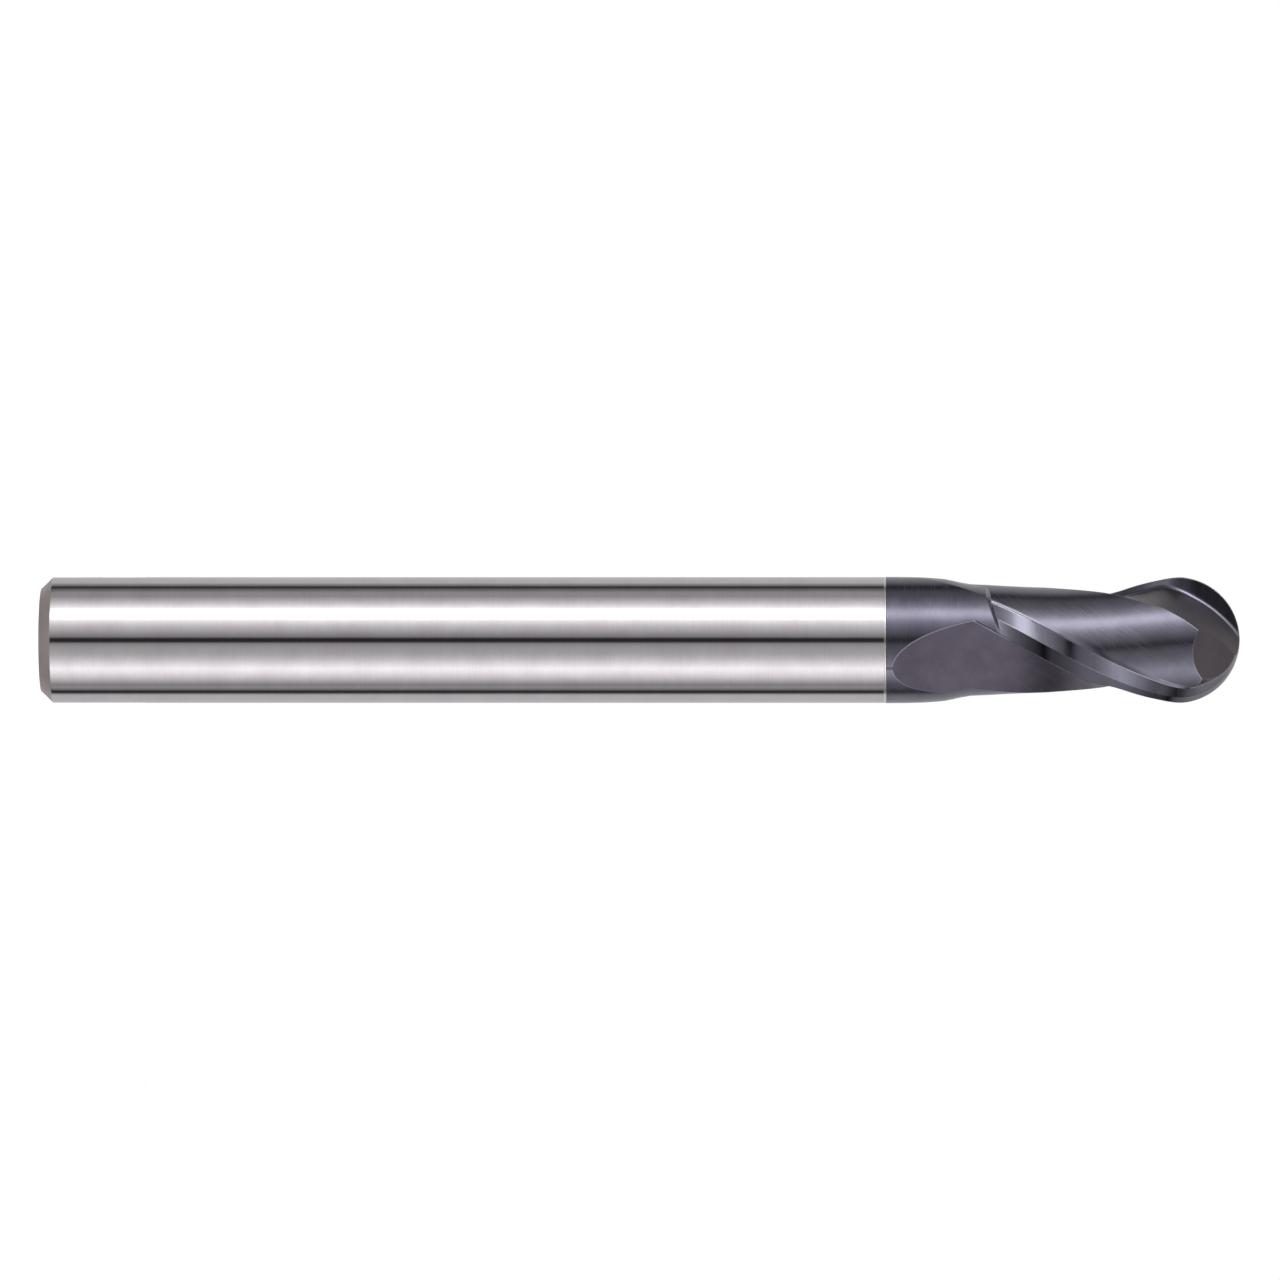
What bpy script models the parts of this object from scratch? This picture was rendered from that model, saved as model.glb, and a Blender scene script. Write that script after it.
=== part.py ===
"""Two-flute ball-nose end mill, 6 mm diameter, 57 mm long.

The tool stands on the flat end of its shank with +Z along its axis, towards the ball.
Three bodies: the plain ground shank, the silver braze film in the joint and the coated cutting head.
All driving dimensions are in millimetres and degrees; meshes are written in metres.
"""

import math

import bpy
import numpy as np

MM = 0.001

# Whole tool
TOOL_LENGTH = 57.0
CUT_RADIUS = 3.0
SHANK_RADIUS = 2.99
END_CHAMFER = 0.56
JOINT_Z = 40.12
BRAZE_FILM = 0.08
HEAD_BASE_Z = JOINT_Z + BRAZE_FILM

# Hidden centring spigot of the head and the braze round it
SPIGOT_RADIUS = 1.2
SPIGOT_LENGTH = 3.0
SPIGOT_FILM = 0.05

# Helix, shared by both cutting edges
TEETH = 2
HALF_TURN = 360.0 / TEETH
HELIX_ANGLE = 30.0
DEGREES_PER_MM = math.degrees(math.tan(math.radians(HELIX_ANGLE)) / CUT_RADIUS)
BALL_CENTRE_Z = TOOL_LENGTH - CUT_RADIUS
EDGE_STRAIGHT_Z = BALL_CENTRE_Z + 0.2
EDGE_BLEND = 0.7

# Where the gash grinding has moved each edge back: angle and the heights it runs in and out
SETBACK_ARC = 7.5
SETBACK_START_Z = 49.2
SETBACK_FULL_Z = 51.6
SETBACK_FALL_Z = 53.0
SETBACK_END_Z = 55.2

# Relief behind each cutting edge, as angles behind it and shares of the cutting radius
PRIMARY_ARC = 14.0
HEEL_ARC = 31.0
PRIMARY_DROP = 0.045
HEEL_DROP = 0.09
RELIEF_START_Z = 44.95
RELIEF_RUN_IN = 0.3
RELIEF_LAG = 0.45

# Back of the flute, behind the heel: a shallow arc, flatter than the tool's own round.
# Each row is a height and the arc's nearest distance to the axis, as a share of the cutting radius.
FLUTE_BACK = ((41.0, 1.0), (42.0, 0.985), (43.0, 0.955), (43.7, 0.90), (44.2, 0.872), (45.2, 0.865),
              (47.3, 0.835), (48.7, 0.82), (50.0, 0.81), (54.0, 0.80))
BACK_ARC_SHARE = 0.99
BACK_MIDDLE = 97.0
BACK_BLEND_ARC = 30.0
BACK_BLEND_CUT_ARC = 4.0

# Floor of the flute: a flat at this distance from the axis, with a wheel run-out towards the shank
FLOOR_EXIT_Z = 40.5
FLOOR_LEVEL_Z = 48.45
FLOOR_SHARE = 0.605
FLOOR_LEAD = 31.0
FLOOR_TURN_Z = 45.6
FLOOR_TURN_SPAN = 1.6
BALL_FLOOR_START_Z = 47.5
BALL_FLOOR_FULL_Z = 51.0
BALL_FLOOR_TILT = 60.0
BALL_FLOOR_LOW = -0.45

# Rake face of each edge
RAKE_ARC = 2.7
FLOOR_FILLET = 0.16
LEAST_ARC = 2.0
LENS_RIM_ARC = 0.8

# Flat that clears the heel on the ball: its direction and its distance from the ball centre
GASH_AXIS_TILT = 54.8
GASH_BEHIND_EDGE = 80.3
GASH_SHARE = 0.80

# Mesh fineness
RING_STEPS = {"primary": 3, "secondary": 3, "back": 8, "floor": 8, "fillet": 3, "rake": 2}
HELIX_RINGS = 50
BALL_RINGS = 18
LAST_BALL_ANGLE = 85.0
ROUND_STEPS = 96


def smooth(value, start, end):
    share = min(1.0, max(0.0, (value - start) / (end - start)))
    return share * share * (3.0 - 2.0 * share)


def edge_angle(z):
    """Polar angle of the first cutting edge: a helix that straightens out on the ball."""
    below = EDGE_STRAIGHT_Z - z
    if below >= EDGE_BLEND:
        return -DEGREES_PER_MM * below
    return -DEGREES_PER_MM * max(0.0, below + EDGE_BLEND) ** 2 / (4.0 * EDGE_BLEND)


def edge_setback(z):
    """Angle by which the ground edge lies behind the plain helix."""
    run_in = smooth(z, SETBACK_START_Z, SETBACK_FULL_Z)
    run_out = smooth(z, SETBACK_FALL_Z, SETBACK_END_Z)
    return SETBACK_ARC * (run_in - run_out)


def outer_radius(z):
    above = max(0.0, z - BALL_CENTRE_Z)
    return math.sqrt(max(1e-8, CUT_RADIUS ** 2 - above ** 2))


def polar(behind, radius):
    angle = -math.radians(behind)
    return np.array((radius * math.cos(angle), radius * math.sin(angle)))


def relief_cut(z, behind):
    """How far the relief grinding has run in: 0 on the plain neck, 1 along the cutting length."""
    start = RELIEF_START_Z + RELIEF_LAG * (1.0 - min(max(behind, 0.0), HEEL_ARC) / HEEL_ARC)
    return smooth(z, start, start + RELIEF_RUN_IN)


def heel_radius(z):
    return outer_radius(z) * (1.0 - relief_cut(z, HEEL_ARC) * HEEL_DROP)


def land_point(z, behind, first):
    """Point of the land: a flat primary relief, then a flat secondary one. It stays round on the neck."""
    radius = outer_radius(z)
    edge = polar(first, radius)
    ridge = polar(PRIMARY_ARC, radius * (1.0 - PRIMARY_DROP))
    heel = polar(HEEL_ARC, radius * (1.0 - HEEL_DROP))
    if behind < PRIMARY_ARC:
        flat = edge + (ridge - edge) * (behind - first) / (PRIMARY_ARC - first)
    else:
        flat = ridge + (heel - ridge) * (behind - PRIMARY_ARC) / (HEEL_ARC - PRIMARY_ARC)
    cut = relief_cut(z, behind)
    return polar(behind, radius) * (1.0 - cut) + flat * cut


def back_arc(z, behind):
    """Radius of the shallow arc that forms the flute back, wherever it would reach."""
    heights, shares = zip(*FLUTE_BACK)
    nearest = CUT_RADIUS * float(np.interp(z, heights, shares))
    arc = CUT_RADIUS * BACK_ARC_SHARE
    offset = arc - nearest
    turn = math.radians(behind - BACK_MIDDLE)
    return math.sqrt(arc ** 2 - (offset * math.sin(turn)) ** 2) - offset * math.cos(turn)


def back_radius(z, behind):
    """Radius of the flute back, which falls away from the heel."""
    heel = heel_radius(z)
    cut = relief_cut(z, HEEL_ARC)
    span = BACK_BLEND_ARC + (BACK_BLEND_CUT_ARC - BACK_BLEND_ARC) * cut
    limit = outer_radius(z) * (1.0 - 0.7 * HEEL_DROP * cut)
    deep = min(back_arc(z, behind), limit)
    away = 1.0 - min(1.0, max(0.0, (behind - HEEL_ARC) / span))
    return deep + (heel - deep) * away ** 2


def ball_floor(z):
    """Floor distance and direction on the ball, where the floor follows the curve of the edge."""
    up = min(0.999, max(BALL_FLOOR_LOW, (z - BALL_CENTRE_Z) / CUT_RADIUS))
    root = CUT_RADIUS * (0.766 - 0.25 * up - 0.45 * up * up)
    across = math.sin(math.radians(BALL_FLOOR_TILT)) * math.sqrt(1.0 - max(0.0, up) ** 2)
    facing = math.atan2(across, math.cos(math.radians(BALL_FLOOR_TILT)))
    return root * math.sin(facing), 90.0 + math.degrees(facing)


def floor_of(z):
    """Distance of the flute floor from the axis, and how far behind the edge it faces."""
    climb = (FLOOR_LEVEL_Z - min(z, FLOOR_LEVEL_Z)) / (FLOOR_LEVEL_Z - FLOOR_EXIT_Z)
    rise = (1.0 - FLOOR_SHARE) * climb ** 2
    distance = CUT_RADIUS * (FLOOR_SHARE + rise)
    facing = HALF_TURN - FLOOR_LEAD + DEGREES_PER_MM * (z - FLOOR_TURN_Z) - floor_turn(z)
    on_ball, ball_facing = ball_floor(z)
    blend = smooth(z, BALL_FLOOR_START_Z, BALL_FLOOR_FULL_Z)
    return distance + (on_ball - distance) * blend, facing + (ball_facing - facing) * blend


def floor_turn(z):
    """Turn of the flute floor with height: none along the run-out, then at the rate of the helix."""
    share = (z - FLOOR_TURN_Z + FLOOR_TURN_SPAN) / (2.0 * FLOOR_TURN_SPAN)
    if share >= 1.0:
        return DEGREES_PER_MM * (z - FLOOR_TURN_Z)
    return DEGREES_PER_MM * FLOOR_TURN_SPAN * max(0.0, share) ** 2


def half_arc(distance, radius):
    return max(LEAST_ARC, math.degrees(math.acos(min(1.0, distance / radius))))


def floor_start(z, distance, facing):
    """Angle behind the edge at which the flute back meets the floor."""
    behind = facing - LEAST_ARC
    for _ in range(12):
        behind = facing - half_arc(distance, back_radius(z, behind))
    return max(behind, HEEL_ARC + 4.0)


def floor_point(z, behind, distance, facing):
    reach = math.cos(math.radians(behind - facing))
    flat = distance / reach if reach > 1e-3 else 1e6
    return polar(behind, min(back_radius(z, behind), outer_radius(z), flat))


def rake_side(z, distance, facing):
    """Fillet and rake face in front of the next tooth, and where that tooth's edge is."""
    chord_end = facing + half_arc(distance, outer_radius(z))
    edge = min(HALF_TURN + edge_setback(z), chord_end)
    over = chord_end - HALF_TURN
    rake = RAKE_ARC * (1.0 - smooth(z, BALL_FLOOR_START_Z, BALL_FLOOR_FULL_Z))
    root = edge + rake * smooth(over, 0.0, 12.0) - LENS_RIM_ARC * (1.0 - smooth(over, 0.0, 3.0))
    flat = distance / math.cos(math.radians(root - facing))
    most = 1.0 if distance > outer_radius(z) else 0.996
    corner = polar(root, min(flat, outer_radius(z) * most))
    tip = polar(edge, outer_radius(z))
    wall = np.linalg.norm(tip - corner)
    size = min(FLOOR_FILLET, 0.4 * wall)
    return root, corner, tip, size, edge


def half_section(z, steps):
    """Points of one tooth and the flute behind it, from its cutting edge to just before the next."""
    distance, facing = floor_of(z)
    root, corner, tip, size, edge = rake_side(z, distance, facing)
    first = edge - HALF_TURN
    start = floor_start(z, distance, facing)
    points = []
    reliefs = ((first, PRIMARY_ARC, steps["primary"]), (PRIMARY_ARC, HEEL_ARC, steps["secondary"]))
    for begin, end, count in reliefs:
        for step in range(count):
            behind = begin + (end - begin) * step / count
            points.append(land_point(z, behind, first))
    for step in range(steps["back"]):
        behind = HEEL_ARC + (start - HEEL_ARC) * step / steps["back"]
        points.append(floor_point(z, behind, distance, facing))
    begin = floor_point(z, start, distance, facing)
    floor_length = np.linalg.norm(corner - begin)
    before = corner + (begin - corner) * min(size / floor_length, 0.4)
    after = corner + (tip - corner) * min(size / max(np.linalg.norm(tip - corner), 1e-6), 0.4)
    in_air = distance > outer_radius(z)
    for step in range(steps["floor"]):
        if in_air:
            points.append(floor_point(z, start + (root - start) * step / steps["floor"], distance, facing))
        else:
            points.append(begin + (before - begin) * step / steps["floor"])
    for step in range(steps["fillet"]):
        share = step / steps["fillet"]
        points.append((1 - share) ** 2 * before + 2 * share * (1 - share) * corner + share ** 2 * after)
    for step in range(steps["rake"]):
        points.append(after + (tip - after) * step / steps["rake"])
    return points


def turned(point, degrees):
    angle = math.radians(degrees)
    x, y = point
    return x * math.cos(angle) - y * math.sin(angle), x * math.sin(angle) + y * math.cos(angle)


def head_ring(z, steps):
    half = half_section(z, steps)
    ring = [(*turned(p, edge_angle(z)), z) for p in half]
    ring += [(*turned(p, edge_angle(z) - HALF_TURN), z) for p in half]
    return ring[::-1]


def ring_heights():
    helix = np.linspace(HEAD_BASE_Z, BALL_CENTRE_Z, HELIX_RINGS)
    angles = np.radians(np.linspace(0.0, LAST_BALL_ANGLE, BALL_RINGS)[1:])
    return list(helix) + list(BALL_CENTRE_Z + CUT_RADIUS * np.sin(angles))


def circle(radius, z, count):
    turns = np.linspace(0.0, 2.0 * math.pi, count, endpoint=False)
    return [(radius * math.cos(t), radius * math.sin(t), z) for t in turns]


def bridge(first, second, count):
    """Quads between two rings of the same size, second above first."""
    return [(first + i, first + (i + 1) % count, second + (i + 1) % count, second + i) for i in range(count)]


def fan(ring, pole, count, upward):
    faces = [(ring + i, ring + (i + 1) % count, pole) for i in range(count)]
    return faces if upward else [face[::-1] for face in faces]


def head_mesh():
    """Spigot, plain neck, fluted length and ball as one closed skin."""
    rings = [head_ring(z, RING_STEPS) for z in ring_heights()]
    count = len(rings[0])
    foot_angles = [math.atan2(y, x) for x, y, _ in rings[0]]
    for z in (HEAD_BASE_Z, HEAD_BASE_Z - SPIGOT_LENGTH):
        foot = [(SPIGOT_RADIUS * math.cos(a), SPIGOT_RADIUS * math.sin(a), z) for a in foot_angles]
        rings.insert(0, foot)
    vertices = [point for ring in rings for point in ring]
    faces = []
    for index in range(len(rings) - 1):
        faces += bridge(index * count, (index + 1) * count, count)
    vertices.append((0.0, 0.0, HEAD_BASE_Z - SPIGOT_LENGTH))
    faces += fan(0, len(vertices) - 1, count, False)
    vertices.append((0.0, 0.0, TOOL_LENGTH))
    faces += fan((len(rings) - 1) * count, len(vertices) - 1, count, True)
    return vertices, faces


def revolved(profile, count):
    """Closed body turned about Z from a profile that starts and ends on the axis."""
    rings = [circle(radius, z, count) for radius, z in profile[1:-1]]
    vertices = [point for ring in rings for point in ring]
    faces = []
    for index in range(len(rings) - 1):
        faces += bridge(index * count, (index + 1) * count, count)
    vertices.append((0.0, 0.0, profile[0][1]))
    faces += fan(0, len(vertices) - 1, count, False)
    vertices.append((0.0, 0.0, profile[-1][1]))
    faces += fan((len(rings) - 1) * count, len(vertices) - 1, count, True)
    return vertices, faces


def shank_profile():
    socket = SPIGOT_RADIUS + SPIGOT_FILM
    socket_floor = HEAD_BASE_Z - SPIGOT_LENGTH - SPIGOT_FILM
    return (
        (0.0, 0.0),
        (SHANK_RADIUS - END_CHAMFER, 0.0),
        (SHANK_RADIUS, END_CHAMFER),
        (SHANK_RADIUS, JOINT_Z),
        (socket, JOINT_Z),
        (socket, socket_floor),
        (0.0, socket_floor),
    )


def braze_profile():
    socket = SPIGOT_RADIUS + SPIGOT_FILM
    cup_floor = HEAD_BASE_Z - SPIGOT_LENGTH - SPIGOT_FILM
    return (
        (0.0, cup_floor),
        (socket, cup_floor),
        (socket, JOINT_Z),
        (SHANK_RADIUS, JOINT_Z),
        (SHANK_RADIUS, HEAD_BASE_Z),
        (SPIGOT_RADIUS, HEAD_BASE_Z),
        (SPIGOT_RADIUS, HEAD_BASE_Z - SPIGOT_LENGTH),
        (0.0, HEAD_BASE_Z - SPIGOT_LENGTH),
    )


def material(name, colour, metallic, roughness):
    made = bpy.data.materials.new(name)
    made.use_nodes = True
    shader = made.node_tree.nodes["Principled BSDF"]
    shader.inputs["Base Color"].default_value = (*colour, 1.0)
    shader.inputs["Metallic"].default_value = metallic
    shader.inputs["Roughness"].default_value = roughness
    return made


def body(name, vertices, faces, surface):
    mesh = bpy.data.meshes.new(name)
    mesh.from_pydata([tuple(MM * c for c in point) for point in vertices], [], faces)
    mesh.validate()
    mesh.polygons.foreach_set("use_smooth", [True] * len(mesh.polygons))
    mesh.set_sharp_from_angle(angle=math.radians(25.0))
    if surface:
        mesh.materials.append(surface)
    made = bpy.data.objects.new(name, mesh)
    bpy.context.scene.collection.objects.link(made)
    return made


def gash_cutter(name, tooth):
    """Block whose lower face is the flat that clears the heel of one tooth on the ball."""
    tilt = math.radians(GASH_AXIS_TILT)
    around = -math.radians(GASH_BEHIND_EDGE + tooth * HALF_TURN)
    axis = np.array((math.sin(tilt) * math.cos(around), math.sin(tilt) * math.sin(around), math.cos(tilt)))
    side = np.array((-math.sin(around), math.cos(around), 0.0))
    up = np.cross(axis, side)
    base = np.array((0.0, 0.0, BALL_CENTRE_Z)) + axis * GASH_SHARE * CUT_RADIUS
    half = CUT_RADIUS
    corners = [base + side * half * sx + up * half * sy for sx, sy in ((-1, -1), (1, -1), (1, 1), (-1, 1))]
    vertices = [tuple(c) for c in corners] + [tuple(c + axis * half) for c in corners]
    faces = [(3, 2, 1, 0), (4, 5, 6, 7)] + bridge(0, 4, 4)
    cutter = body(name, vertices, faces, None)
    cutter.hide_render = True
    cutter.display_type = "WIRE"
    return cutter


def build():
    for old in list(bpy.data.objects):
        bpy.data.objects.remove(old, do_unlink=True)
    ground = material("ground_shank", (0.62, 0.61, 0.60), 1.0, 0.22)
    silver = material("silver_braze", (0.84, 0.82, 0.76), 1.0, 0.18)
    coating = material("dark_coating", (0.115, 0.10, 0.125), 1.0, 0.34)
    body("shank", *revolved(shank_profile(), ROUND_STEPS), ground)
    body("braze_joint", *revolved(braze_profile(), ROUND_STEPS), silver)
    head = body("cutting_head", *head_mesh(), coating)
    for tooth in range(TEETH):
        cut = head.modifiers.new(f"gash_{tooth + 1}", "BOOLEAN")
        cut.operation = "DIFFERENCE"
        cut.solver = "EXACT"
        cut.object = gash_cutter(f"gash_cutter_{tooth + 1}", tooth)


build()
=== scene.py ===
"""Studio scene of the ball-nose end mill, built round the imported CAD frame.

Finer versions of the three CAD bodies stand in for them, with the same driving dimensions.
Dimensions are in millimetres and degrees; meshes are written in metres.
"""

import math

import bpy
import numpy as np
from mathutils import Matrix, Vector


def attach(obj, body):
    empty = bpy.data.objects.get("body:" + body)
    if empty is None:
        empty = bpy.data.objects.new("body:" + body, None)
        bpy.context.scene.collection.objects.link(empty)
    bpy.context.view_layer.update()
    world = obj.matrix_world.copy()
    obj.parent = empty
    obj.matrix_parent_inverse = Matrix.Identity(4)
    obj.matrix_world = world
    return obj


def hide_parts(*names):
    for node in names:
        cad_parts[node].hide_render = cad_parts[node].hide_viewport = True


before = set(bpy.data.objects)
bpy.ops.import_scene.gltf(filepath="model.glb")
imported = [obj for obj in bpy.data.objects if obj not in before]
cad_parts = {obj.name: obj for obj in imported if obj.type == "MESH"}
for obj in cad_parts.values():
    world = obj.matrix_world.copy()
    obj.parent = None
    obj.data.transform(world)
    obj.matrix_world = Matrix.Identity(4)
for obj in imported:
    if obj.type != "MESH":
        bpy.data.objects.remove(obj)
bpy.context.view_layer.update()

MM = 0.001

# Whole tool
TOOL_LENGTH = 57.0
CUT_RADIUS = 3.0
SHANK_RADIUS = 2.99
END_CHAMFER = 0.56
JOINT_Z = 40.12
BRAZE_FILM = 0.08
HEAD_BASE_Z = JOINT_Z + BRAZE_FILM

# Helix, shared by both cutting edges
TEETH = 2
HALF_TURN = 360.0 / TEETH
HELIX_ANGLE = 30.0
DEGREES_PER_MM = math.degrees(math.tan(math.radians(HELIX_ANGLE)) / CUT_RADIUS)
BALL_CENTRE_Z = TOOL_LENGTH - CUT_RADIUS
EDGE_STRAIGHT_Z = BALL_CENTRE_Z + 0.2
EDGE_BLEND = 0.7

# Where the gash grinding has moved each edge back: angle and the heights it runs in and out
SETBACK_ARC = 7.5
SETBACK_START_Z = 49.2
SETBACK_FULL_Z = 51.6
SETBACK_FALL_Z = 53.0
SETBACK_END_Z = 55.2

# Relief behind each cutting edge, as angles behind it and shares of the cutting radius
PRIMARY_ARC = 14.0
HEEL_ARC = 31.0
PRIMARY_DROP = 0.045
HEEL_DROP = 0.09
RELIEF_START_Z = 44.95
RELIEF_RUN_IN = 0.3
RELIEF_LAG = 0.45

# Back of the flute, behind the heel: a shallow arc, flatter than the tool's own round.
# Each row is a height and the arc's nearest distance to the axis, as a share of the cutting radius.
FLUTE_BACK = ((41.0, 1.0), (42.0, 0.985), (43.0, 0.955), (43.7, 0.90), (44.2, 0.872), (45.2, 0.865),
              (47.3, 0.835), (48.7, 0.82), (50.0, 0.81), (54.0, 0.80))
BACK_ARC_SHARE = 0.99
BACK_MIDDLE = 97.0
BACK_BLEND_ARC = 30.0
BACK_BLEND_CUT_ARC = 4.0

# Floor of the flute: a flat at this distance from the axis, with a wheel run-out towards the shank
FLOOR_EXIT_Z = 40.5
FLOOR_LEVEL_Z = 48.45
FLOOR_SHARE = 0.605
FLOOR_LEAD = 31.0
FLOOR_TURN_Z = 45.6
FLOOR_TURN_SPAN = 1.6
BALL_FLOOR_START_Z = 47.5
BALL_FLOOR_FULL_Z = 51.0
BALL_FLOOR_TILT = 60.0
BALL_FLOOR_LOW = -0.45

# Rake face of each edge
RAKE_ARC = 2.7
FLOOR_FILLET = 0.16
LEAST_ARC = 2.0
LENS_RIM_ARC = 0.8

# Flat that clears the heel on the ball: its direction and its distance from the ball centre
GASH_AXIS_TILT = 54.8
GASH_BEHIND_EDGE = 80.3
GASH_SHARE = 0.80

# Mesh fineness
RING_STEPS = {"primary": 36, "secondary": 10, "back": 48, "floor": 36, "fillet": 8, "rake": 5}
HELIX_RINGS = 380
BALL_RINGS = 90
LAST_BALL_ANGLE = 88.5
ROUND_STEPS = 360

# Finish of the visible surfaces
SHARP_DEGREES = 8.0
GASH_TONE_Z = 52.3
EDGE_ROUNDING = 0.03
RIM_ROUNDING = 0.012
RIM_PROUD = 0.004
EDGE_GLINT = 0.055

# Cosine between the rounded direction and the face's own, where the painted edge highlight starts and where
# it is full
PAINTED_GLINT_START = 0.9996
PAINTED_GLINT_FULL = 0.9975

# Size of a grinding mark along x, y and z, and how its direction is turned. The drift of tone is per metre.
STEEL_LINES = (1.6, 1.6, 0.035)
NECK_LINES = (1.0, 1.0, 0.07)
FLUTE_LINES = (0.055, 1.4, 1.8)
NO_TURN = (0.0, 0.0, 0.0)
DIAGONAL = (0.0, math.radians(36.0), 0.0)
TONE_SCALE = 900.0

# Colours of the painted highlight along the sharp edges, a lifted base colour that stands in for the glint
# of light on them
STEEL_PAINTED_GLINT = (0.72, 0.70, 0.71)
COAT_PAINTED_GLINT = (0.44, 0.44, 0.51)
DULL_PAINTED_GLINT = (0.135, 0.130, 0.158)

# Camera, and the round floor in metres
CAMERA_DISTANCE = 635.0
CAMERA_Z = 40.2
VIEW_WIDTH = 60.87
VIEW_CENTRE_Z = 28.5
FLOOR_RADIUS = 0.09
FLOOR_SIDES = 96
FLOOR_LAMP = 3.4

# Strength of the studio light by its angle round the tool from the camera, positive upwards in the picture
LIGHT_BANDS = (
    (-180, 0.60), (-124, 0.62), (-119, 0.42), (-114, 0.04), (-108, 0.04), (-104, 0.22), (-98, 0.38),
    (-90, 0.32), (-81, 0.60), (-71, 0.96), (-62, 1.26), (-54, 1.46), (-45, 1.14), (-36, 0.80), (-26, 0.56),
    (-11, 0.42), (-6, 0.31), (-3.6, 0.03), (3, 0.03), (5.4, 0.26), (12, 0.42), (26, 0.80), (36, 1.30),
    (46, 3.10), (54, 3.10), (62, 1.35), (70, 0.92), (78, 0.62), (88, 0.38), (97, 0.38), (114, 0.02),
    (131, 0.60),
)
BAND_TOP = 4.0

# Light from straight above and below, and how far up or down the bands give way to it
BAND_FADE = (0.25, 0.8, 1.0, 0.25)
OVERHEAD_LIGHT = 0.42
UNDER_LIGHT = 0.18
LIGHT_TINT = (1.0, 0.985, 1.0)

# Order of the head's materials
LAND, SECONDARY, FLUTE, GASH, RAKE, BACK, PRIMARY = range(7)


def smooth(value, start, end):
    share = min(1.0, max(0.0, (value - start) / (end - start)))
    return share * share * (3.0 - 2.0 * share)


def edge_angle(z):
    """Polar angle of the first cutting edge: a helix that straightens out on the ball."""
    below = EDGE_STRAIGHT_Z - z
    if below >= EDGE_BLEND:
        return -DEGREES_PER_MM * below
    return -DEGREES_PER_MM * max(0.0, below + EDGE_BLEND) ** 2 / (4.0 * EDGE_BLEND)


def edge_setback(z):
    """Angle by which the ground edge lies behind the plain helix."""
    run_in = smooth(z, SETBACK_START_Z, SETBACK_FULL_Z)
    run_out = smooth(z, SETBACK_FALL_Z, SETBACK_END_Z)
    return SETBACK_ARC * (run_in - run_out)


def outer_radius(z):
    above = max(0.0, z - BALL_CENTRE_Z)
    return math.sqrt(max(1e-8, CUT_RADIUS ** 2 - above ** 2))


def polar(behind, radius):
    angle = -math.radians(behind)
    return np.array((radius * math.cos(angle), radius * math.sin(angle)))


def relief_cut(z, behind):
    """How far the relief grinding has run in: 0 on the plain neck, 1 along the cutting length."""
    start = RELIEF_START_Z + RELIEF_LAG * (1.0 - min(max(behind, 0.0), HEEL_ARC) / HEEL_ARC)
    return smooth(z, start, start + RELIEF_RUN_IN)


def heel_radius(z):
    return outer_radius(z) * (1.0 - relief_cut(z, HEEL_ARC) * HEEL_DROP)


def land_point(z, behind, first):
    """Point of the land: a flat primary relief, then a flat secondary one. It stays round on the neck."""
    radius = outer_radius(z)
    edge = polar(first, radius)
    ridge = polar(PRIMARY_ARC, radius * (1.0 - PRIMARY_DROP))
    heel = polar(HEEL_ARC, radius * (1.0 - HEEL_DROP))
    if behind < PRIMARY_ARC:
        flat = edge + (ridge - edge) * (behind - first) / (PRIMARY_ARC - first)
    else:
        flat = ridge + (heel - ridge) * (behind - PRIMARY_ARC) / (HEEL_ARC - PRIMARY_ARC)
    cut = relief_cut(z, behind)
    return polar(behind, radius) * (1.0 - cut) + flat * cut


def back_arc(z, behind):
    """Radius of the shallow arc that forms the flute back, wherever it would reach."""
    heights, shares = zip(*FLUTE_BACK)
    nearest = CUT_RADIUS * float(np.interp(z, heights, shares))
    arc = CUT_RADIUS * BACK_ARC_SHARE
    offset = arc - nearest
    turn = math.radians(behind - BACK_MIDDLE)
    return math.sqrt(arc ** 2 - (offset * math.sin(turn)) ** 2) - offset * math.cos(turn)


def back_radius(z, behind):
    """Radius of the flute back, which falls away from the heel."""
    heel = heel_radius(z)
    cut = relief_cut(z, HEEL_ARC)
    span = BACK_BLEND_ARC + (BACK_BLEND_CUT_ARC - BACK_BLEND_ARC) * cut
    limit = outer_radius(z) * (1.0 - 0.7 * HEEL_DROP * cut)
    deep = min(back_arc(z, behind), limit)
    away = 1.0 - min(1.0, max(0.0, (behind - HEEL_ARC) / span))
    return deep + (heel - deep) * away ** 2


def ball_floor(z):
    """Floor distance and direction on the ball, where the floor follows the curve of the edge."""
    up = min(0.999, max(BALL_FLOOR_LOW, (z - BALL_CENTRE_Z) / CUT_RADIUS))
    root = CUT_RADIUS * (0.766 - 0.25 * up - 0.45 * up * up)
    across = math.sin(math.radians(BALL_FLOOR_TILT)) * math.sqrt(1.0 - max(0.0, up) ** 2)
    facing = math.atan2(across, math.cos(math.radians(BALL_FLOOR_TILT)))
    return root * math.sin(facing), 90.0 + math.degrees(facing)


def floor_of(z):
    """Distance of the flute floor from the axis, and how far behind the edge it faces."""
    climb = (FLOOR_LEVEL_Z - min(z, FLOOR_LEVEL_Z)) / (FLOOR_LEVEL_Z - FLOOR_EXIT_Z)
    rise = (1.0 - FLOOR_SHARE) * climb ** 2
    distance = CUT_RADIUS * (FLOOR_SHARE + rise)
    facing = HALF_TURN - FLOOR_LEAD + DEGREES_PER_MM * (z - FLOOR_TURN_Z) - floor_turn(z)
    on_ball, ball_facing = ball_floor(z)
    blend = smooth(z, BALL_FLOOR_START_Z, BALL_FLOOR_FULL_Z)
    return distance + (on_ball - distance) * blend, facing + (ball_facing - facing) * blend


def floor_turn(z):
    """Turn of the flute floor with height: none along the run-out, then at the rate of the helix."""
    share = (z - FLOOR_TURN_Z + FLOOR_TURN_SPAN) / (2.0 * FLOOR_TURN_SPAN)
    if share >= 1.0:
        return DEGREES_PER_MM * (z - FLOOR_TURN_Z)
    return DEGREES_PER_MM * FLOOR_TURN_SPAN * max(0.0, share) ** 2


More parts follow.
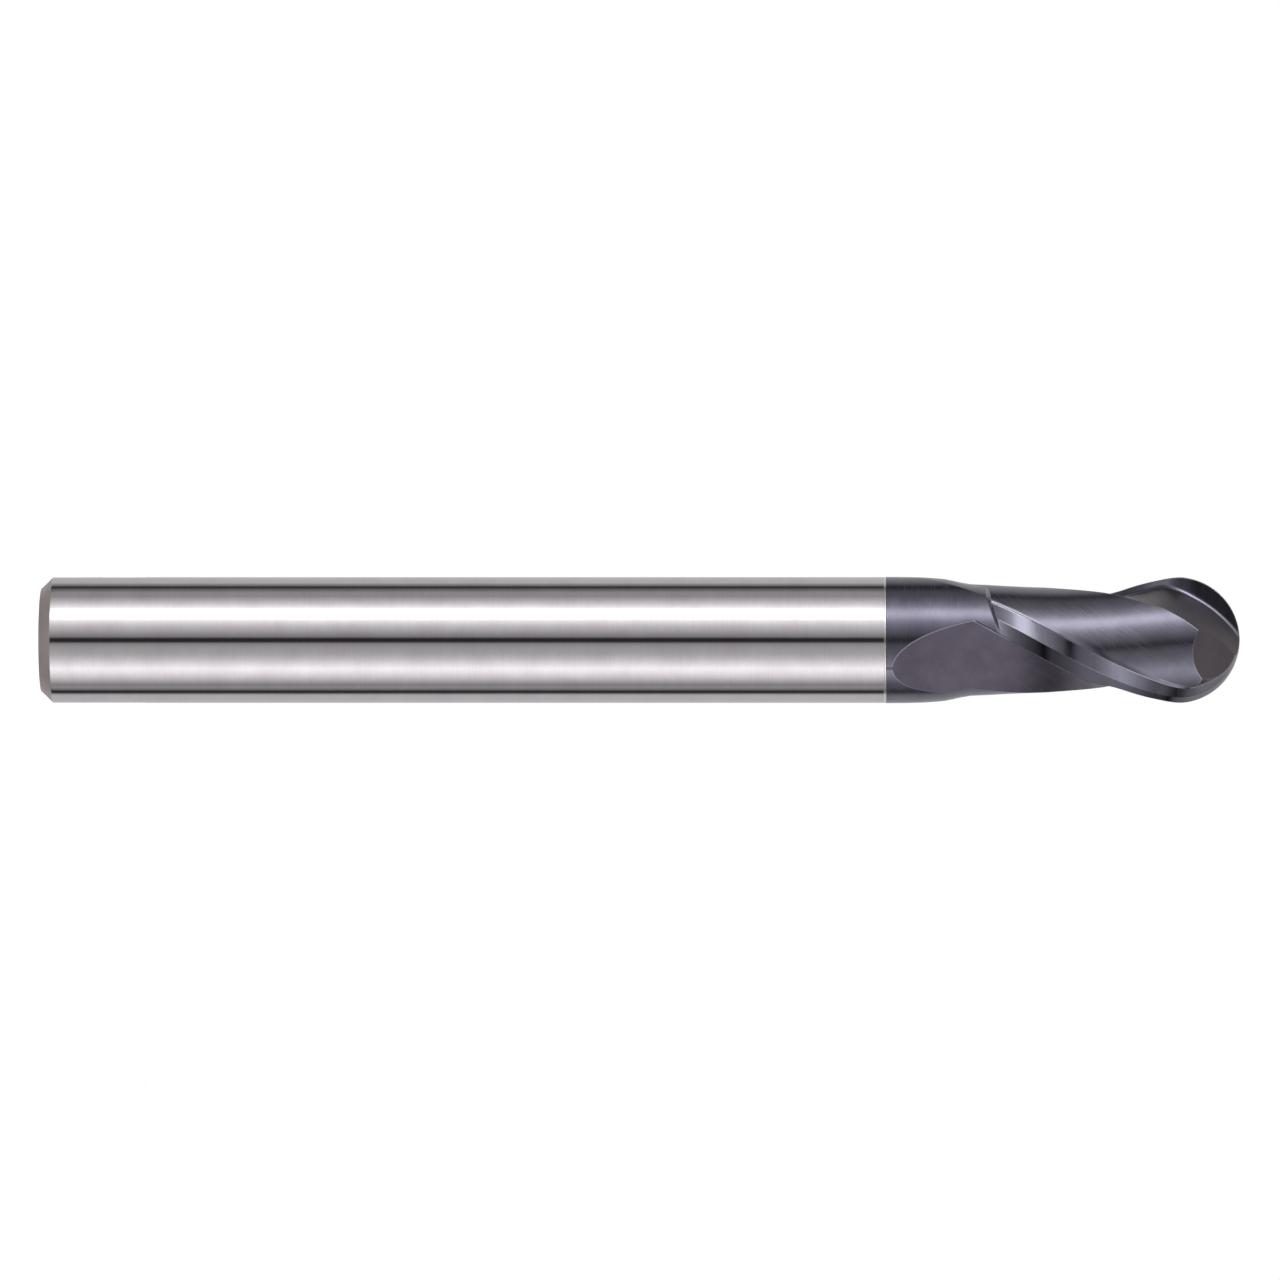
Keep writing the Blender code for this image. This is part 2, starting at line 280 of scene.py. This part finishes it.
def half_arc(distance, radius):
    return max(LEAST_ARC, math.degrees(math.acos(min(1.0, distance / radius))))


def floor_start(z, distance, facing):
    """Angle behind the edge at which the flute back meets the floor."""
    behind = facing - LEAST_ARC
    for _ in range(12):
        behind = facing - half_arc(distance, back_radius(z, behind))
    return max(behind, HEEL_ARC + 4.0)


def floor_point(z, behind, distance, facing):
    reach = math.cos(math.radians(behind - facing))
    flat = distance / reach if reach > 1e-3 else 1e6
    return polar(behind, min(back_radius(z, behind), outer_radius(z), flat))


def rake_side(z, distance, facing):
    """Fillet and rake face in front of the next tooth, and where that tooth's edge is."""
    chord_end = facing + half_arc(distance, outer_radius(z))
    edge = min(HALF_TURN + edge_setback(z), chord_end)
    over = chord_end - HALF_TURN
    rake = RAKE_ARC * (1.0 - smooth(z, BALL_FLOOR_START_Z, BALL_FLOOR_FULL_Z))
    root = edge + rake * smooth(over, 0.0, 12.0) - LENS_RIM_ARC * (1.0 - smooth(over, 0.0, 3.0))
    flat = distance / math.cos(math.radians(root - facing))
    most = 1.0 if distance > outer_radius(z) else 0.996
    corner = polar(root, min(flat, outer_radius(z) * most))
    tip = polar(edge, outer_radius(z))
    wall = np.linalg.norm(tip - corner)
    size = min(FLOOR_FILLET, 0.4 * wall)
    return root, corner, tip, size, edge


def half_section(z, steps):
    """Points of one tooth and the flute behind it, from its cutting edge to just before the next."""
    distance, facing = floor_of(z)
    root, corner, tip, size, edge = rake_side(z, distance, facing)
    first = edge - HALF_TURN
    start = floor_start(z, distance, facing)
    points = []
    reliefs = ((first, PRIMARY_ARC, steps["primary"]), (PRIMARY_ARC, HEEL_ARC, steps["secondary"]))
    for begin, end, count in reliefs:
        for step in range(count):
            behind = begin + (end - begin) * step / count
            points.append(land_point(z, behind, first))
    for step in range(steps["back"]):
        behind = HEEL_ARC + (start - HEEL_ARC) * step / steps["back"]
        points.append(floor_point(z, behind, distance, facing))
    begin = floor_point(z, start, distance, facing)
    floor_length = np.linalg.norm(corner - begin)
    before = corner + (begin - corner) * min(size / floor_length, 0.4)
    after = corner + (tip - corner) * min(size / max(np.linalg.norm(tip - corner), 1e-6), 0.4)
    in_air = distance > outer_radius(z)
    for step in range(steps["floor"]):
        if in_air:
            points.append(floor_point(z, start + (root - start) * step / steps["floor"], distance, facing))
        else:
            points.append(begin + (before - begin) * step / steps["floor"])
    for step in range(steps["fillet"]):
        share = step / steps["fillet"]
        points.append((1 - share) ** 2 * before + 2 * share * (1 - share) * corner + share ** 2 * after)
    for step in range(steps["rake"]):
        points.append(after + (tip - after) * step / steps["rake"])
    return points


def turned(point, degrees):
    angle = math.radians(degrees)
    x, y = point
    return x * math.cos(angle) - y * math.sin(angle), x * math.sin(angle) + y * math.cos(angle)


def head_ring(z, steps):
    half = half_section(z, steps)
    ring = [(*turned(p, edge_angle(z)), z) for p in half]
    ring += [(*turned(p, edge_angle(z) - HALF_TURN), z) for p in half]
    return ring[::-1]


def ring_heights():
    helix = np.linspace(HEAD_BASE_Z, BALL_CENTRE_Z, HELIX_RINGS)
    angles = np.radians(np.linspace(0.0, LAST_BALL_ANGLE, BALL_RINGS)[1:])
    return list(helix) + list(BALL_CENTRE_Z + CUT_RADIUS * np.sin(angles))


def land_material(z, behind):
    """Material of the land: the coated neck until the relief grinding has run in."""
    if relief_cut(z, behind) < 0.5:
        return LAND
    return PRIMARY if behind < PRIMARY_ARC else SECONDARY


def column_materials(z):
    """Material of each face column of half a section at this height, in the order the points are made."""
    primary = RING_STEPS["primary"]
    secondary = RING_STEPS["secondary"]
    columns = [land_material(z, PRIMARY_ARC * step / primary) for step in range(primary)]
    reach = HEEL_ARC - PRIMARY_ARC
    columns += [land_material(z, PRIMARY_ARC + reach * step / secondary) for step in range(secondary)]
    columns += [BACK] * RING_STEPS["back"]
    columns += [GASH if z > GASH_TONE_Z else FLUTE] * RING_STEPS["floor"]
    return columns + [RAKE] * (RING_STEPS["fillet"] + RING_STEPS["rake"])


def head_faces(heights, count):
    """Quads of the fluted skin with their material indices. Rings run against their points' order."""
    faces = []
    indices = []
    for ring in range(len(heights) - 1):
        columns = (column_materials(heights[ring]) * TEETH)[::-1]
        indices += columns[1:] + columns[:1]
        low = ring * count
        high = low + count
        faces += [(low + i, low + (i + 1) % count, high + (i + 1) % count, high + i) for i in range(count)]
    return faces, indices


def mesh_piece(name, vertices, faces, materials, indices):
    mesh = bpy.data.meshes.new(name)
    mesh.from_pydata([tuple(MM * c for c in point) for point in vertices], [], faces)
    for surface in materials:
        mesh.materials.append(surface)
    mesh.polygons.foreach_set("material_index", indices)
    mesh.polygons.foreach_set("use_smooth", [True] * len(mesh.polygons))
    piece = bpy.data.objects.new(name, mesh)
    bpy.context.scene.collection.objects.link(piece)
    return piece


def gash_cutter(tooth, materials):
    """Block whose lower face is the flat that clears the heel of one tooth on the ball."""
    tilt = math.radians(GASH_AXIS_TILT)
    around = -math.radians(GASH_BEHIND_EDGE + tooth * HALF_TURN)
    axis = np.array((math.sin(tilt) * math.cos(around), math.sin(tilt) * math.sin(around), math.cos(tilt)))
    side = np.array((-math.sin(around), math.cos(around), 0.0))
    up = np.cross(axis, side)
    base = np.array((0.0, 0.0, BALL_CENTRE_Z)) + axis * GASH_SHARE * CUT_RADIUS
    corners = [base + (side * sx + up * sy) * CUT_RADIUS for sx, sy in ((-1, -1), (1, -1), (1, 1), (-1, 1))]
    vertices = corners + [corner + axis * CUT_RADIUS for corner in corners]
    faces = [(3, 2, 1, 0), (4, 5, 6, 7)]
    faces += [(i, (i + 1) % 4, 4 + (i + 1) % 4, 4 + i) for i in range(4)]
    return mesh_piece(f"gash_cutter_{tooth + 1}", vertices, faces, materials, [GASH] * len(faces))


def apply_modifiers(piece):
    graph = bpy.context.evaluated_depsgraph_get()
    done = bpy.data.meshes.new_from_object(piece.evaluated_get(graph))
    piece.modifiers.clear()
    piece.data = done


def cutting_head(materials):
    """Neck, fluted length and ball, then the two gash flats cut through the heels."""
    heights = ring_heights()
    rings = [head_ring(z, RING_STEPS) for z in heights]
    count = len(rings[0])
    vertices = [point for ring in rings for point in ring]
    faces, indices = head_faces(heights, count)
    last = (len(rings) - 1) * count
    vertices += [(0.0, 0.0, HEAD_BASE_Z), (0.0, 0.0, TOOL_LENGTH)]
    base, tip = len(vertices) - 2, len(vertices) - 1
    faces += [((i + 1) % count, i, base) for i in range(count)]
    faces += [(last + i, last + (i + 1) % count, tip) for i in range(count)]
    indices += [LAND] * count + [GASH] * count
    head = mesh_piece("coated_head", vertices, faces, materials, indices)
    cutters = [gash_cutter(tooth, materials) for tooth in range(TEETH)]
    for cutter in cutters:
        cut = head.modifiers.new(cutter.name, "BOOLEAN")
        cut.operation = "DIFFERENCE"
        cut.solver = "EXACT"
        cut.object = cutter
    apply_modifiers(head)
    for cutter in cutters:
        bpy.data.objects.remove(cutter, do_unlink=True)
    head.data.polygons.foreach_set("use_smooth", [True] * len(head.data.polygons))
    head.data.set_sharp_from_angle(angle=math.radians(SHARP_DEGREES))
    return head


def revolved(name, profile, materials, indices):
    """Closed body turned about Z from a profile that starts and ends on the axis, one material per band."""
    turns = np.linspace(0.0, 2.0 * math.pi, ROUND_STEPS, endpoint=False)
    vertices = [(r * math.cos(t), r * math.sin(t), z) for r, z in profile[1:-1] for t in turns]
    rings = len(profile) - 2
    faces = []
    bands = []
    for ring in range(rings - 1):
        low = ring * ROUND_STEPS
        high = low + ROUND_STEPS
        for i in range(ROUND_STEPS):
            j = (i + 1) % ROUND_STEPS
            faces.append((low + i, low + j, high + j, high + i))
            bands.append(indices[ring + 1])
    vertices += [(0.0, 0.0, profile[0][1]), (0.0, 0.0, profile[-1][1])]
    first, last = len(vertices) - 2, len(vertices) - 1
    top = (rings - 1) * ROUND_STEPS
    for i in range(ROUND_STEPS):
        j = (i + 1) % ROUND_STEPS
        faces.append((j, i, first))
        bands.append(indices[0])
        faces.append((top + i, top + j, last))
        bands.append(indices[-1])
    piece = mesh_piece(name, vertices, faces, materials, bands)
    piece.data.set_sharp_from_angle(angle=math.radians(SHARP_DEGREES))
    return piece


def rounded_corner(before, corner, after, size, steps=5):
    """Points that round the corner of a profile."""
    corner = np.array(corner)
    start = corner + size * (np.array(before) - corner) / np.linalg.norm(np.array(before) - corner)
    end = corner + size * (np.array(after) - corner) / np.linalg.norm(np.array(after) - corner)
    shares = np.linspace(0.0, 1.0, steps)
    return [tuple((1 - t) ** 2 * start + 2 * t * (1 - t) * corner + t * t * end) for t in shares]


def shank(materials):
    """Plain shank: flat end, chamfer with softened edges, cylinder up to the joint."""
    foot = (0.0, 0.0)
    flat_edge = (SHANK_RADIUS - END_CHAMFER, 0.0)
    chamfer_top = (SHANK_RADIUS, END_CHAMFER)
    top_edge = (SHANK_RADIUS, JOINT_Z)
    profile = [foot]
    profile += rounded_corner(foot, flat_edge, chamfer_top, EDGE_ROUNDING)
    profile += rounded_corner(flat_edge, chamfer_top, top_edge, EDGE_ROUNDING)
    profile += [(SHANK_RADIUS, 1.0 + i * (JOINT_Z - 1.5) / 24) for i in range(25)]
    profile += rounded_corner((SHANK_RADIUS, JOINT_Z - 1.0), top_edge, (1.0, JOINT_Z), RIM_ROUNDING, 3)
    profile.append((0.0, JOINT_Z))
    end_bands = 8
    bands = [1] * end_bands + [0] * (len(profile) - 1 - end_bands)
    return revolved("polished_shank", profile, materials, bands)


def braze_joint(materials):
    """Film of braze between shank and head, with a slightly raised rim."""
    shares = np.linspace(0.0, 1.0, 7)
    rim = [(SHANK_RADIUS + RIM_PROUD * math.sin(math.pi * t), JOINT_Z + BRAZE_FILM * t) for t in shares]
    profile = [(0.0, JOINT_Z), *rim, (0.0, HEAD_BASE_Z)]
    return revolved("braze_film", profile, materials, [0] * (len(profile) - 1))


class Nodes:
    """Shorthand for building a shader tree."""

    def __init__(self, tree):
        self.tree = tree

    def add(self, kind, **settings):
        node = self.tree.nodes.new(kind)
        for name, value in settings.items():
            setattr(node, name, value)
        return node

    def link(self, source, target):
        self.tree.links.new(source, target)

    def math(self, operation, first, second=None):
        node = self.add("ShaderNodeMath", operation=operation)
        for socket, value in zip(node.inputs, (first, second)):
            if isinstance(value, (int, float)):
                socket.default_value = value
            elif value is not None:
                self.link(value, socket)
        return node.outputs[0]

    def ranged(self, value, low, high, to_low, to_high, smooth_steps=False):
        node = self.add("ShaderNodeMapRange")
        node.interpolation_type = "SMOOTHSTEP" if smooth_steps else "LINEAR"
        for socket, number in zip(node.inputs[1:5], (low, high, to_low, to_high)):
            socket.default_value = number
        self.link(value, node.inputs[0])
        return node.outputs[0]

    def noise(self, vector, scale, detail=2.0, roughness=0.5):
        node = self.add("ShaderNodeTexNoise")
        node.inputs["Scale"].default_value = scale
        node.inputs["Detail"].default_value = detail
        node.inputs["Roughness"].default_value = roughness
        self.link(vector, node.inputs["Vector"])
        return node.outputs["Fac"]

    def stretched(self, vector, lengths, turn):
        """Coordinates in which a noise cell has these lengths in millimetres, turned about the axes."""
        node = self.add("ShaderNodeMapping", vector_type="TEXTURE")
        node.inputs["Rotation"].default_value = turn
        node.inputs["Scale"].default_value = [MM * length for length in lengths]
        self.link(vector, node.inputs["Vector"])
        return node.outputs[0]

    def tint(self, value, dark, light):
        """Colour that varies between two tones."""
        node = self.add("ShaderNodeMix", data_type="RGBA")
        node.inputs["A"].default_value = (*dark, 1.0)
        node.inputs["B"].default_value = (*light, 1.0)
        self.link(value, node.inputs["Factor"])
        return node.outputs["Result"]

    def rounded(self):
        """Surface direction, rounded over the sharp edges."""
        edges = self.add("ShaderNodeBevel", samples=6)
        edges.inputs["Radius"].default_value = EDGE_GLINT * MM
        return edges.outputs[0]

    def painted_edge_glint(self, rounded):
        """1 along the sharp edges, where the base colour is lifted as a painted highlight for the glint of
        light on them, and 0 on the faces.
        """
        same = self.add("ShaderNodeVectorMath", operation="DOT_PRODUCT")
        self.link(rounded, same.inputs[0])
        self.link(self.add("ShaderNodeNewGeometry").outputs["Normal"], same.inputs[1])
        return self.ranged(same.outputs["Value"], PAINTED_GLINT_START, PAINTED_GLINT_FULL, 0.0, 1.0)

    def bump(self, height, distance, rounded):
        """Height marks on top of the rounded direction."""
        node = self.add("ShaderNodeBump")
        self.link(rounded, node.inputs["Normal"])
        node.inputs["Distance"].default_value = distance
        self.link(height, node.inputs["Height"])
        return node.outputs[0]


def metal(name, dark, light, edge, roughness, marks, turn, depth):
    """Ground metal: fine parallel marks in bump and roughness, a faint drift of tone, and a painted
    highlight along the sharp edges.
    """
    made = bpy.data.materials.new(name)
    made.use_nodes = True
    nodes = Nodes(made.node_tree)
    shader = made.node_tree.nodes["Principled BSDF"]
    shader.inputs["Metallic"].default_value = 1.0
    place = nodes.add("ShaderNodeTexCoord").outputs["Object"]
    lines = nodes.noise(nodes.stretched(place, marks, turn), 1.0, 3.0, 0.6)
    cloud = nodes.noise(place, TONE_SCALE, 3.0, 0.55)
    share = nodes.math("ADD", nodes.math("MULTIPLY", cloud, 0.6), nodes.math("MULTIPLY", lines, 0.4))
    face = nodes.tint(nodes.ranged(share, 0.35, 0.65, 0.0, 1.0), dark, light)
    rounded = nodes.rounded()
    # Along the sharp edges the base colour is mixed towards the edge colour: a painted highlight for the
    # glint of the edges
    coat = nodes.add("ShaderNodeMix", data_type="RGBA")
    nodes.link(nodes.painted_edge_glint(rounded), coat.inputs["Factor"])
    nodes.link(face, coat.inputs["A"])
    coat.inputs["B"].default_value = (*edge, 1.0)
    nodes.link(coat.outputs["Result"], shader.inputs["Base Color"])
    low, high = roughness
    nodes.link(nodes.ranged(lines, 0.3, 0.7, low, high), shader.inputs["Roughness"])
    nodes.link(nodes.bump(lines, depth, rounded), shader.inputs["Normal"])
    return made


def studio_world():
    """Light bands round the tool's axis for reflections, and plain white behind it."""
    world = bpy.data.worlds.new("studio")
    bpy.context.scene.world = world
    world.use_nodes = True
    tree = world.node_tree
    tree.nodes.clear()
    nodes = Nodes(tree)
    way = nodes.add("ShaderNodeSeparateXYZ")
    nodes.link(nodes.add("ShaderNodeTexCoord").outputs["Generated"], way.inputs[0])
    east, north, up = way.outputs
    turn = nodes.math("ARCTAN2", nodes.math("MULTIPLY", east, -1.0), nodes.math("MULTIPLY", north, -1.0))
    band = nodes.add("ShaderNodeValToRGB")
    nodes.link(nodes.ranged(turn, -math.pi, math.pi, 0.0, 1.0), band.inputs[0])
    ramp = band.color_ramp
    ramp.interpolation = "LINEAR"
    while len(ramp.elements) > 1:
        ramp.elements.remove(ramp.elements[-1])
    for index, (angle, strength) in enumerate(LIGHT_BANDS):
        spot = (angle + 180.0) / 360.0
        element = ramp.elements[0] if index == 0 else ramp.elements.new(spot)
        element.position = spot
        element.color = (strength / BAND_TOP,) * 3 + (1.0,)
    height = nodes.math("ABSOLUTE", up)
    fade = nodes.ranged(height, *BAND_FADE, True)
    gap = nodes.add("ShaderNodeMix", data_type="FLOAT")
    nodes.link(fade, gap.inputs["Factor"])
    nodes.link(nodes.ranged(up, -0.3, 0.3, UNDER_LIGHT, OVERHEAD_LIGHT, True), gap.inputs["A"])
    nodes.link(nodes.math("MULTIPLY", band.outputs[0], BAND_TOP), gap.inputs["B"])
    seen = nodes.add("ShaderNodeBackground")
    seen.inputs["Color"].default_value = (1.0, 1.0, 1.0, 1.0)
    lit = nodes.add("ShaderNodeBackground")
    lit.inputs["Color"].default_value = (*LIGHT_TINT, 1.0)
    nodes.link(gap.outputs["Result"], lit.inputs["Strength"])
    choose = nodes.add("ShaderNodeMixShader")
    nodes.link(nodes.add("ShaderNodeLightPath").outputs["Is Camera Ray"], choose.inputs[0])
    nodes.link(lit.outputs[0], choose.inputs[1])
    nodes.link(seen.outputs[0], choose.inputs[2])
    nodes.link(choose.outputs[0], nodes.add("ShaderNodeOutputWorld").inputs[0])


def floor():
    """Pale round table top under the tool, lit evenly from above. The metal doesn't reflect it."""
    turns = np.linspace(0.0, 2.0 * math.pi, FLOOR_SIDES, endpoint=False)
    points = [(FLOOR_RADIUS * math.cos(t), FLOOR_RADIUS * math.sin(t), 0.0) for t in turns]
    mesh = bpy.data.meshes.new("floor")
    mesh.from_pydata(points, [], [tuple(range(FLOOR_SIDES))])
    surface = bpy.data.materials.new("floor_white")
    surface.use_nodes = True
    shader = surface.node_tree.nodes["Principled BSDF"]
    shader.inputs["Base Color"].default_value = (0.9, 0.9, 0.9, 1.0)
    shader.inputs["Roughness"].default_value = 0.6
    mesh.materials.append(surface)
    table = bpy.data.objects.new("floor", mesh)
    bpy.context.scene.collection.objects.link(table)
    table.visible_glossy = False
    lamp = bpy.data.lights.new("overhead", "SUN")
    lamp.energy = FLOOR_LAMP
    lamp.angle = math.radians(60.0)
    lamp.use_shadow = False
    overhead = bpy.data.objects.new("overhead", lamp)
    overhead.visible_glossy = False
    bpy.context.scene.collection.objects.link(overhead)


def camera():
    """Long lens level with the middle of the tool, rolled so that the ball points right."""
    lens = bpy.data.cameras.new("camera")
    lens.sensor_width = 36.0
    lens.lens = 36.0 * CAMERA_DISTANCE / VIEW_WIDTH
    lens.clip_start = 0.01
    lens.clip_end = 20.0
    eye = bpy.data.objects.new("camera", lens)
    turn = Matrix(((0, -1, 0), (0, 0, -1), (1, 0, 0))).to_4x4()
    lean = math.atan2(CAMERA_Z - VIEW_CENTRE_Z, CAMERA_DISTANCE)
    place = Matrix.Translation(Vector((0.0, -CAMERA_DISTANCE, CAMERA_Z)) * MM)
    eye.matrix_world = place @ Matrix.Rotation(-lean, 4, "X") @ turn
    bpy.context.scene.collection.objects.link(eye)
    bpy.context.scene.camera = eye


bpy.context.scene.view_settings.view_transform = "Standard"
studio_world()
floor()
camera()

# The third colour of each material is its painted highlight along the sharp edges
polish = metal("ground_shank", (0.60, 0.568, 0.588), (0.67, 0.645, 0.66), STEEL_PAINTED_GLINT,
               (0.045, 0.085), STEEL_LINES, NO_TURN, 1e-7)
# The chamfer's base colour is much lighter than the shank's: painted light making up for the dim light from
# below that it reflects, on top of its own pinkish ground tone
chamfer = metal("ground_chamfer", (0.70, 0.63, 0.61), (0.84, 0.76, 0.74), STEEL_PAINTED_GLINT,
                (0.42, 0.55), STEEL_LINES, NO_TURN, 1e-6)
# All the coated facets are one coating. Their base brightness differs facet by facet as painted light and
# shade, after how bright each looks under this light: darker on the primary relief, lighter on the
# secondary relief, flute back and rake. The bluish tint is the coating's own
land = metal("coated_neck", (0.130, 0.126, 0.162), (0.165, 0.161, 0.205), DULL_PAINTED_GLINT,
             (0.15, 0.28), NECK_LINES, NO_TURN, 5e-7)
# Darker base colour than the neck: painted shade
primary = metal("coated_primary_relief", (0.072, 0.069, 0.086), (0.098, 0.095, 0.117), DULL_PAINTED_GLINT,
                (0.12, 0.20), NECK_LINES, NO_TURN, 3e-7)
# Lighter base colour than the neck: painted light
secondary = metal("coated_secondary_relief", (0.160, 0.160, 0.198), (0.210, 0.210, 0.255), COAT_PAINTED_GLINT,
                  (0.12, 0.20), NECK_LINES, NO_TURN, 3e-7)
flute = metal("coated_flute", (0.094, 0.083, 0.109), (0.131, 0.117, 0.150), DULL_PAINTED_GLINT,
              (0.30, 0.44), FLUTE_LINES, DIAGONAL, 1.2e-6)
gash = metal("coated_gash", (0.125, 0.112, 0.120), (0.155, 0.140, 0.150), DULL_PAINTED_GLINT,
             (0.32, 0.44), FLUTE_LINES, DIAGONAL, 1.0e-6)
back = metal("coated_back", (0.150, 0.146, 0.183), (0.200, 0.196, 0.242), COAT_PAINTED_GLINT,
             (0.18, 0.30), FLUTE_LINES, DIAGONAL, 8e-7)
rake = metal("coated_rake", (0.140, 0.136, 0.175), (0.175, 0.170, 0.217), COAT_PAINTED_GLINT,
             (0.14, 0.20), STEEL_LINES, NO_TURN, 3e-7)
silver = metal("silver_braze", (0.86, 0.86, 0.84), (0.93, 0.93, 0.91), (0.95, 0.95, 0.94),
               (0.12, 0.20), STEEL_LINES, NO_TURN, 2e-7)

pieces = (
    (shank((polish, chamfer)), "shank", "ground_shank"),
    (braze_joint((silver,)), "braze_joint", "silver_braze"),
    (cutting_head((land, secondary, flute, gash, rake, back, primary)), "cutting_head", "dark_coating"),
)
for piece, node, slot in pieces:
    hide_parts(node)
    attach(piece, "root")
